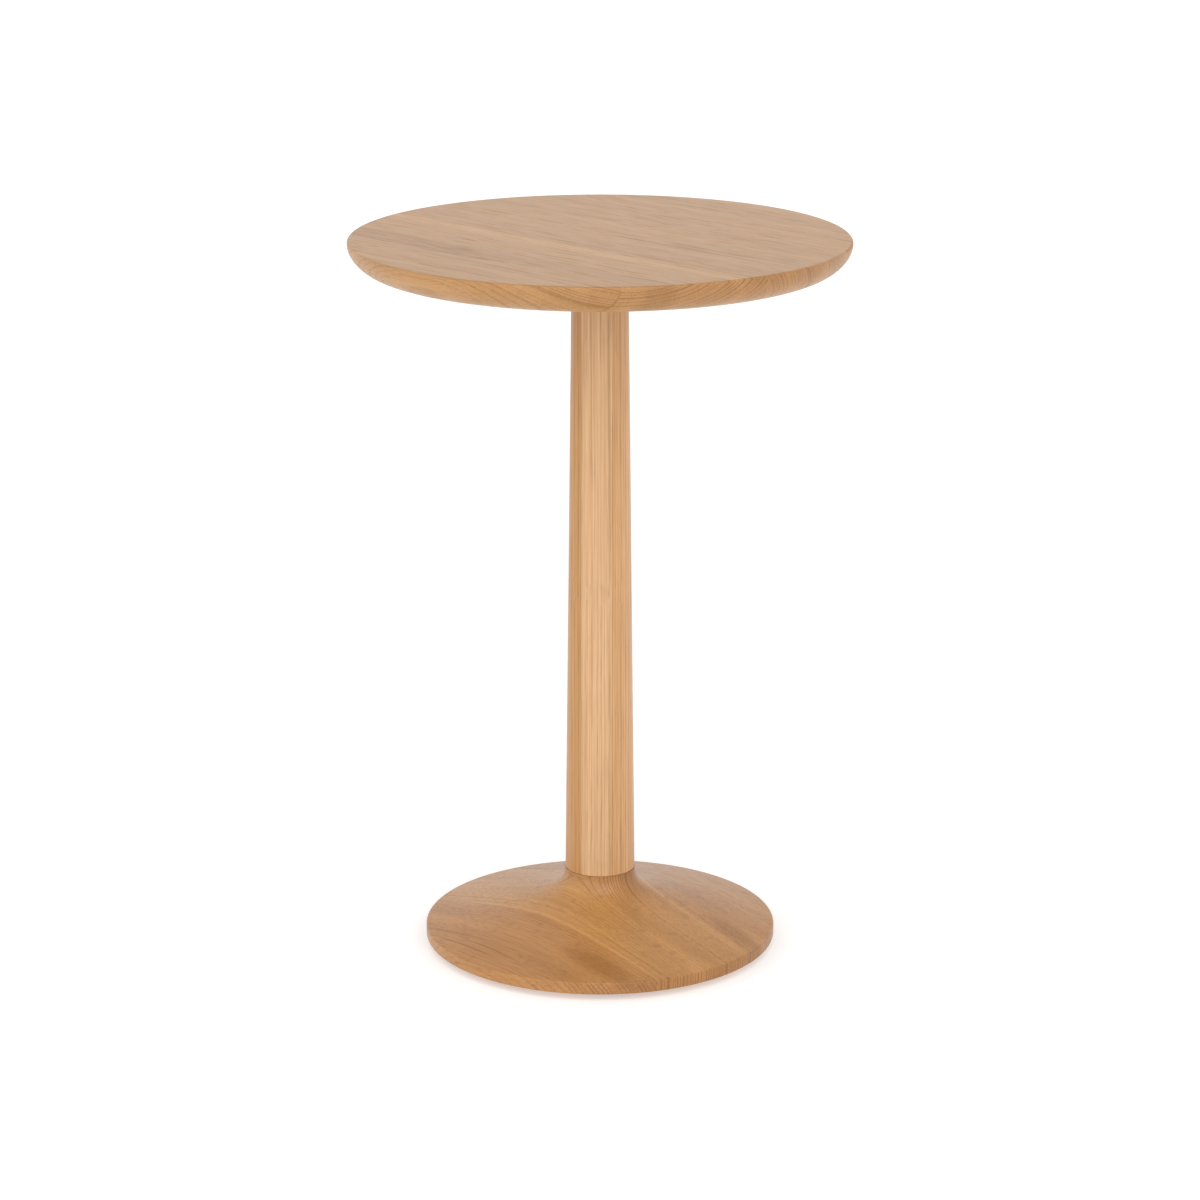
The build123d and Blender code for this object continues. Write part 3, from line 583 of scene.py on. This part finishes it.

# %% [markdown]
# ## Powder coat and nylon
#
# The ballast plate is sprayed with powder and baked, which leaves a fine orange peel.
# The glides are moulded nylon: a milky, waxy plastic. A fine noise in the bump gives
# both their skins; modelled dimples would cost thousands of faces for the same look.

# %% Ballast plate and glides


def coated(name, colour, worn, roughness, grain_size, depth, milky=0.0):
    """A coated or moulded surface with a fine skin, its grain size and depth in millimetres."""
    made = bpy.data.materials.new(name)
    made.use_nodes = True
    tree = made.node_tree
    shader = tree.nodes["Principled BSDF"]
    shader.inputs["Subsurface Weight"].default_value = milky
    shader.inputs["Subsurface Scale"].default_value = 0.002
    place = tree.nodes.new("ShaderNodeTexCoord").outputs["Object"]
    skin = mottle(tree, place, 1 / (grain_size * MM), 2.0, 0.5)
    scuffs = fade(tree, mottle(tree, place, 70.0, 5.0, 0.65), 0.42, 0.7)
    tree.links.new(tint(tree, scuffs, colour + (1,), worn + (1,)), shader.inputs["Base Color"])
    tree.links.new(reckon(tree, "MULTIPLY_ADD", scuffs, 0.15, roughness), shader.inputs["Roughness"])
    bump = step(tree, "ShaderNodeBump", {"Strength": 0.5, "Distance": depth * MM, "Height": skin})
    tree.links.new(bump.outputs[0], shader.inputs["Normal"])
    return made


powder_coat = coated("black powder coat", (0.025, 0.025, 0.028), (0.05, 0.05, 0.055), 0.45, 0.7, 0.08)
finish("ballast_plate", powder_coat)
nylon = coated("moulded nylon", (0.74, 0.71, 0.64), (0.66, 0.62, 0.54), 0.42, 0.5, 0.03, milky=0.15)
glides = [node for node in nodes if node.startswith("glide_") and node != "glide_screws"]
for node in glides:
    finish(node, nylon)
print("glides:", len(glides))

# %% [markdown]
# ## Where the screws are
#
# Each set of screws is one plain shape in the frame. A merged copy of it falls apart
# into single screws, and the box round each one tells where the better screw goes and
# how long it is. Typing the places in again would be shorter, but they could then
# disagree with the frame.

# %% Boxes round a node's loose parts


def loose_parts(node):
    """The (lowest corner, highest corner) of every separate shape in a CAD node."""
    work = bmesh.new()
    work.from_mesh(nodes[node].data)
    bmesh.ops.remove_doubles(work, verts=work.verts, dist=0.00001)
    waiting = set(work.verts)
    boxes = []
    while waiting:
        part = set()
        reached = [waiting.pop()]
        while reached:
            corner = reached.pop()
            part.add(corner)
            touching = {edge.other_vert(corner) for edge in corner.link_edges} & waiting
            waiting -= touching
            reached.extend(touching)
        low = Vector([min(corner.co[axis] for corner in part) for axis in range(3)])
        high = Vector([max(corner.co[axis] for corner in part) for axis in range(3)])
        boxes.append((low, high))
    work.free()
    return boxes


screw_sets = {
    node: loose_parts(node)
    for node in ("bearer_screws", "ballast_screws", "glide_screws", "catch_screws", "strike_screws")
}
print("screws:", {node: len(boxes) for node, boxes in screw_sets.items()})

# %% [markdown]
# ## A wood screw
#
# A screw is a turned shape with a thread wound round it, so it follows a rule and
# Geometry Nodes can wind it. A flat grid is rolled up: one way goes round, the other
# from the middle of the head, over its rim, along the shank to the point. The distance
# from the axis is a sum of ramps, and the thread is a wave that climbs one pitch each
# turn. A cross is pressed into the head by pushing points inwards. Cutting the recess
# with a boolean would be crisper, but leaves slivers.

# %% The tree that winds screws
AROUND = 56
ALONG = 150
FACE_ENDS, SIDE_ENDS, FOOT_ENDS, SHANK_ENDS = 0.2, 0.27, 0.3, 0.93
THREAD_STARTS, THREAD_IS_FULL = 0.42, 0.46
CUT_DEPTH = 0.32


def ramp(tree, value, start, end, gives):
    """0 before start, gives after end, and a straight climb between."""
    return step(tree, "ShaderNodeMapRange", {0: value, 1: start, 2: end, 3: 0.0, 4: gives}).outputs[0]


def start_tree(name, numbers, vectors=()):
    """A Geometry Nodes tree with its named inputs, and their sockets."""
    tree = bpy.data.node_groups.new(name, "GeometryNodeTree")
    tree.interface.new_socket("Geometry", in_out="OUTPUT", socket_type="NodeSocketGeometry")
    tree.interface.new_socket("Geometry", in_out="INPUT", socket_type="NodeSocketGeometry")
    for number in numbers:
        tree.interface.new_socket(number, in_out="INPUT", socket_type="NodeSocketFloat")
    for vector in vectors:
        tree.interface.new_socket(vector, in_out="INPUT", socket_type="NodeSocketVector")
    tree.interface.new_socket("Material", in_out="INPUT", socket_type="NodeSocketMaterial")
    return tree, tree.nodes.new("NodeGroupInput").outputs


def put_and_keep(tree, put, material):
    """End a tree: a copy at every point, made real, in its material."""
    real = step(tree, "GeometryNodeInstanceOnPoints", put).outputs[0]
    real = step(tree, "GeometryNodeRealizeInstances", {"Geometry": real}).outputs[0]
    last = step(tree, "GeometryNodeSetMaterial", {"Geometry": real, "Material": material}).outputs[0]
    tree.links.new(last, tree.nodes.new("NodeGroupOutput").inputs[0])


def screw_tree():
    """A Geometry Nodes tree that puts a wood screw at every point it is given."""
    numbers = ("Head radius", "Head foot radius", "Head height", "Shank radius", "Length", "Pitch")
    tree, given = start_tree("wood screw", numbers, ("Turn",))
    grid_sizes = {"Size X": 1.0, "Size Y": 1.0, "Vertices X": AROUND + 1, "Vertices Y": ALONG + 1}
    grid = step(tree, "GeometryNodeMeshGrid", grid_sizes).outputs["Mesh"]
    flat = tree.nodes.new("GeometryNodeInputPosition").outputs[0]
    x, y, _ = step(tree, "ShaderNodeSeparateXYZ", {0: flat}).outputs
    turn = reckon(tree, "ADD", x, 0.5)
    run = reckon(tree, "ADD", y, 0.5)

    # The distance from the axis: head's face, its rim, its foot, and the point.
    to_foot = reckon(tree, "SUBTRACT", given["Head foot radius"], given["Head radius"])
    to_shank = reckon(tree, "SUBTRACT", given["Shank radius"], given["Head foot radius"])
    to_point = reckon(tree, "MULTIPLY", given["Shank radius"], -1.0)
    radius = ramp(tree, run, 0.0, FACE_ENDS, given["Head radius"])
    radius = reckon(tree, "ADD", radius, ramp(tree, run, FACE_ENDS, SIDE_ENDS, to_foot))
    radius = reckon(tree, "ADD", radius, ramp(tree, run, SIDE_ENDS, FOOT_ENDS, to_shank))
    radius = reckon(tree, "ADD", radius, ramp(tree, run, SHANK_ENDS, 1.0, to_point))

    # The height, which is nought at the head's foot.
    point = reckon(tree, "MULTIPLY", given["Shank radius"], 2.0)
    shank = reckon(tree, "SUBTRACT", given["Length"], point)
    height = ramp(tree, run, FACE_ENDS, SIDE_ENDS, given["Head height"])
    height = reckon(tree, "SUBTRACT", height, given["Head height"])
    height = reckon(tree, "ADD", height, ramp(tree, run, FOOT_ENDS, SHANK_ENDS, shank))
    height = reckon(tree, "ADD", height, ramp(tree, run, SHANK_ENDS, 1.0, point))

    # The thread is cut below the shank's own radius.
    climb = reckon(tree, "SUBTRACT", reckon(tree, "DIVIDE", height, given["Pitch"]), turn)
    wave = reckon(tree, "PINGPONG", climb, 0.5)
    cut = fade(tree, wave, 0.08, 0.42, 0.0, -CUT_DEPTH)
    begins = fade(tree, run, THREAD_STARTS, THREAD_IS_FULL)
    ends = fade(tree, run, SHANK_ENDS, 1.0, 1.0, 0.0)
    threaded = reckon(tree, "MULTIPLY", begins, ends)
    cut = reckon(tree, "MULTIPLY", reckon(tree, "MULTIPLY", cut, threaded), given["Shank radius"])
    radius = reckon(tree, "ADD", radius, cut)

    # The cross in the head.
    angle = reckon(tree, "MULTIPLY", turn, 2 * pi)
    across = reckon(tree, "MULTIPLY", radius, reckon(tree, "COSINE", angle))
    beside = reckon(tree, "MULTIPLY", radius, reckon(tree, "SINE", angle))
    out_x = reckon(tree, "DIVIDE", reckon(tree, "ABSOLUTE", across), given["Head radius"])
    out_y = reckon(tree, "DIVIDE", reckon(tree, "ABSOLUTE", beside), given["Head radius"])
    narrow = fade(tree, reckon(tree, "MINIMUM", out_x, out_y), 0.1, 0.17, 1.0, 0.0)
    short = fade(tree, reckon(tree, "MAXIMUM", out_x, out_y), 0.42, 0.62, 1.0, 0.0)
    on_face = fade(tree, run, 0.8 * FACE_ENDS, 0.9 * FACE_ENDS, 1.0, 0.0)
    recess = reckon(tree, "MULTIPLY", reckon(tree, "MULTIPLY", narrow, short), on_face)
    recess = reckon(tree, "MULTIPLY", recess, reckon(tree, "MULTIPLY", given["Head height"], 0.6))
    height = reckon(tree, "ADD", height, recess)
    place = step(tree, "ShaderNodeCombineXYZ", {0: across, 1: beside, 2: height}).outputs[0]
    rolled = step(tree, "GeometryNodeSetPosition", {"Geometry": grid, "Position": place}).outputs[0]
    closed = step(tree, "GeometryNodeMergeByDistance", {"Geometry": rolled, "Distance": 0.000001}).outputs[0]

    put = {"Points": given["Geometry"], "Instance": closed, "Rotation": given["Turn"]}
    put_and_keep(tree, put, given["Material"])
    return tree


SCREW = screw_tree()
print("screw tree:", len(SCREW.nodes), "nodes")

# %% [markdown]
# ## Growing a piece from a tree
#
# A tree is run once by a modifier on a small starting mesh. The answer is kept as a
# plain mesh with its place in it, its faces are turned outwards, and the piece takes
# over from the frame's plain one, on the same moving body.

# %% Growing and placing


def grow(name, tree, points, settings):
    """Run a Geometry Nodes tree on some points and keep its answer as a plain mesh object."""
    seed = bpy.data.meshes.new(name + " points")
    seed.from_pydata(points, [], [])
    worker = bpy.data.objects.new(name + " worker", seed)
    bpy.context.scene.collection.objects.link(worker)
    modifier = worker.modifiers.new("grow", "NODES")
    modifier.node_group = tree
    for socket in tree.interface.items_tree:
        if socket.in_out == "INPUT" and socket.name in settings:
            modifier[socket.identifier] = settings[socket.name]
    bpy.context.view_layer.update()
    grown = bpy.data.meshes.new_from_object(worker.evaluated_get(bpy.context.evaluated_depsgraph_get()))
    bpy.data.objects.remove(worker)
    grown.name = name
    work = bmesh.new()
    work.from_mesh(grown)
    bmesh.ops.recalc_face_normals(work, faces=work.faces)
    work.to_mesh(grown)
    work.free()
    grown.shade_smooth()
    grown.set_sharp_from_angle(angle=radians(40))
    piece = bpy.data.objects.new(name, grown)
    bpy.context.scene.collection.objects.link(piece)
    return piece


def take_over(piece, node):
    """Show the piece instead of a CAD node, on that node's body."""
    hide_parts(node)
    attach(piece, body_of(nodes[node])[0])
    print(piece.name, "has", len(piece.data.polygons), "faces")


# %% [markdown]
# ## The five sets of screws
#
# Round-headed screws in slotted holes hold the bearers, so that the top can shrink and
# swell. The rest are countersunk. All but the strike's drive straight up; the strike's
# lie flat and drive towards the front.

# %% Screws
#   set: head radius, head height, shank radius, pitch, all in mm, then metal and slot
screw_kinds = {
    "bearer_screws": (4.2, 2.4, 2.0, 1.8, zinc, "zinc_steel"),
    "ballast_screws": (4.0, 2.0, 2.0, 1.8, zinc, "zinc_steel"),
    "glide_screws": (3.9, 2.0, 1.8, 1.6, zinc, "zinc_steel"),
    "catch_screws": (2.8, 1.3, 1.4, 1.2, brass, "brass"),
    "strike_screws": (2.4, 1.1, 1.2, 1.0, brass, "brass"),
}
for node, (head, head_height, shank, pitch, made_of, slot_name) in screw_kinds.items():
    flat = node == "strike_screws"
    places = []
    for low, high in screw_sets[node]:
        middle = (low + high) / 2
        if flat:
            places.append((middle.x, high.y - head_height * MM, middle.z))
            length = high.y - low.y - head_height * MM
        else:
            places.append((middle.x, middle.y, low.z + head_height * MM))
            length = high.z - low.z - head_height * MM
    settings = {
        "Head radius": head * MM,
        "Head foot radius": (0.97 * head if node == "bearer_screws" else shank) * MM,
        "Head height": head_height * MM,
        "Shank radius": shank * MM,
        "Length": length,
        "Pitch": pitch * MM,
        "Turn": (radians(90) if flat else 0.0, 0.0, 0.0),
        "Material": made_of,
    }
    take_over(grow("threaded_" + node, SCREW, places, settings), node)

# %% [markdown]
# ## The catch's spring
#
# The frame has a plain tube where the spring is. The real one is a wire coil. A
# Geometry Nodes spiral with a round section swept along it makes it.

# %% Spring
SPRING_TURNS = 9
WIRE_RADIUS = 0.3 * MM
spring_low, spring_high = (Vector(corner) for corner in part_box("catch_spring"))
coil_radius = (spring_high.x - spring_low.x) / 2 - WIRE_RADIUS
coil_length = spring_high.y - spring_low.y - 2 * WIRE_RADIUS
spring_start = Vector((0, spring_low.y + WIRE_RADIUS, (spring_low.z + spring_high.z) / 2))


def spring_tree():
    """A Geometry Nodes tree that makes a wire coil along Y from the first point it is given."""
    tree, given = start_tree("coil spring", ("Coil radius", "Coil length", "Turns", "Wire radius"))
    spiral = {
        "Resolution": 36,
        "Rotations": given["Turns"],
        "Start Radius": given["Coil radius"],
        "End Radius": given["Coil radius"],
        "Height": given["Coil length"],
    }
    coil = step(tree, "GeometryNodeCurveSpiral", spiral).outputs[0]
    ring = {"Resolution": 12, "Radius": given["Wire radius"]}
    section = step(tree, "GeometryNodeCurvePrimitiveCircle", ring).outputs[0]
    swept = {"Curve": coil, "Profile Curve": section, "Fill Caps": True}
    swept = step(tree, "GeometryNodeCurveToMesh", swept).outputs[0]
    lying = {"Geometry": swept, "Rotation": (radians(-90), 0, 0)}
    lying = step(tree, "GeometryNodeTransform", lying).outputs[0]
    put = {"Points": given["Geometry"], "Instance": lying}
    put_and_keep(tree, put, given["Material"])
    return tree


spring_settings = {
    "Coil radius": coil_radius,
    "Coil length": coil_length,
    "Turns": float(SPRING_TURNS),
    "Wire radius": WIRE_RADIUS,
    "Material": wire,
}
spring = grow("coiled_spring", spring_tree(), [tuple(spring_start)], spring_settings)
take_over(spring, "catch_spring")
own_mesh(spring)
